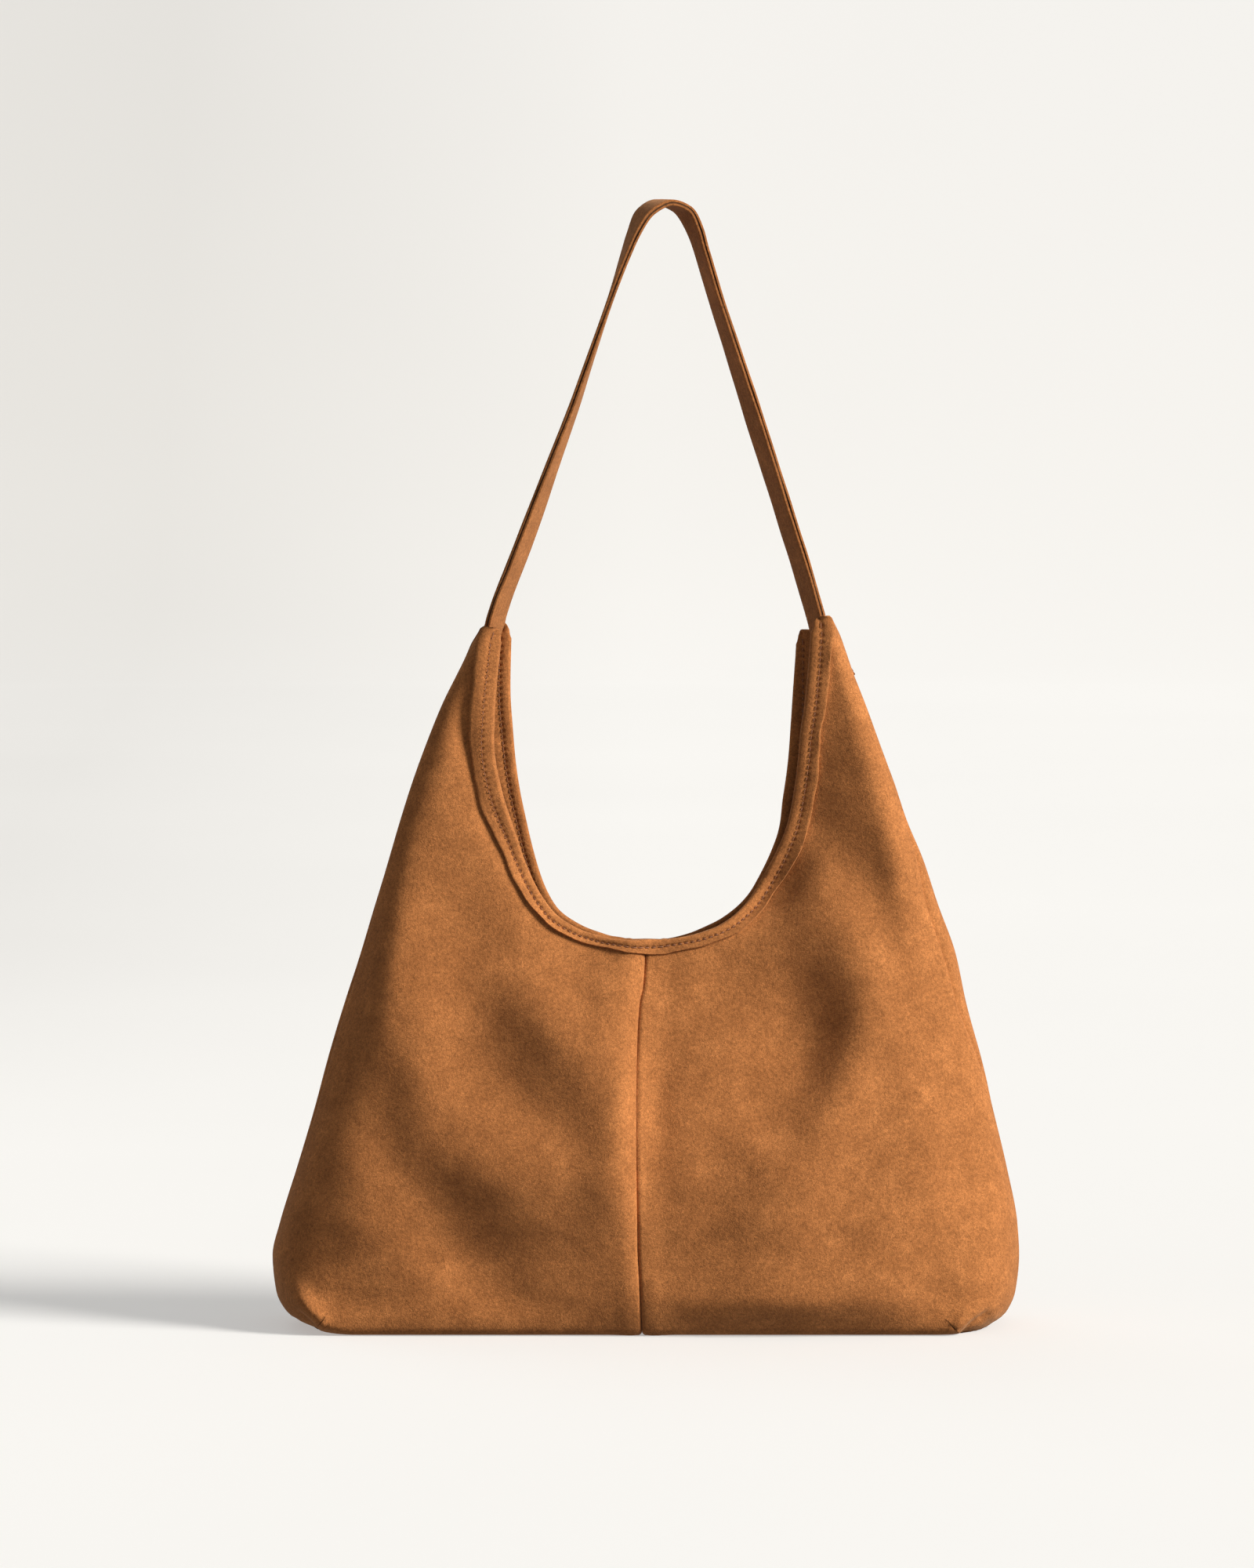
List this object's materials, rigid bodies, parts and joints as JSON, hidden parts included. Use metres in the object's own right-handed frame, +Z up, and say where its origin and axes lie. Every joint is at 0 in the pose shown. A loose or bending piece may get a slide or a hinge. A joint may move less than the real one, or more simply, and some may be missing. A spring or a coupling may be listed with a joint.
{
  "type": "hobo bag",
  "caption": "Slouchy suede hobo shoulder bag with a boxed base, a deep curved bound mouth, one twisted flat strap, a magnetic snap and an inside zip pocket.",
  "frame": {"origin": "on the floor under the middle of the base", "axes": "+Z up, +X to the right as seen from the front, +Y to the back"},
  "size_m": [0.42, 0.1102, 0.6324],
  "materials": {
    "suede": "napped",
    "binding_suede": "napped",
    "strap_suede": "napped",
    "trim_suede": "napped",
    "strap_filler": "matt",
    "lining_cloth": "woven",
    "zip_tape": "woven",
    "board": "matt",
    "brass": "polished",
    "steel": "brushed"
  },
  "bodies": {
    "root": {"front_panel_left": "suede", "front_panel_right": "suede", "back_panel_left": "suede", "back_panel_right": "suede", "front_rim_binding": "binding_suede", "back_rim_binding": "binding_suede", "strap_root_left": "strap_suede", "strap_root_right": "strap_suede", "lining_front": "lining_cloth", "lining_back": "lining_cloth", "base_board": "board", "snap_patch_front": "trim_suede", "snap_patch_back": "trim_suede", "snap_socket": "brass", "snap_magnet": "steel", "snap_stud": "brass", "snap_washer_front": "steel", "snap_washer_back": "steel", "pocket_bag": "lining_cloth", "zip_frame": "trim_suede", "zip_tape_upper": "zip_tape", "zip_tape_lower": "zip_tape", "zip_teeth_upper": "brass", "zip_teeth_lower": "brass", "zip_stops": "brass"},
    "strap": {"strap_outer_layer": "strap_suede", "strap_inner_layer": "strap_suede", "strap_core": "strap_filler"},
    "zip_slider": {"zip_slider": "brass"},
    "zip_pull": {"zip_pull": "brass"}
  },
  "joints": [
    {"name": "strap_swing", "type": "hinge", "parent": "root", "child": "strap", "pos_m": [0, 0, 0.4079], "axis": [1, 0, 0], "range_deg": [-100, 100], "deforming": ["strap_root_left", "strap_root_right"]},
    {"name": "zip_slide", "type": "slide", "parent": "root", "child": "zip_slider", "axis": [-1, 0, 0], "range_m": [0, 0.126]},
    {"name": "zip_pull_hinge", "type": "hinge", "parent": "zip_slider", "child": "zip_pull", "pos_m": [0.063, 0.01932, 0.16735], "axis": [0, -0.2171, 0.9762], "range_deg": [0, 180]}
  ]
}
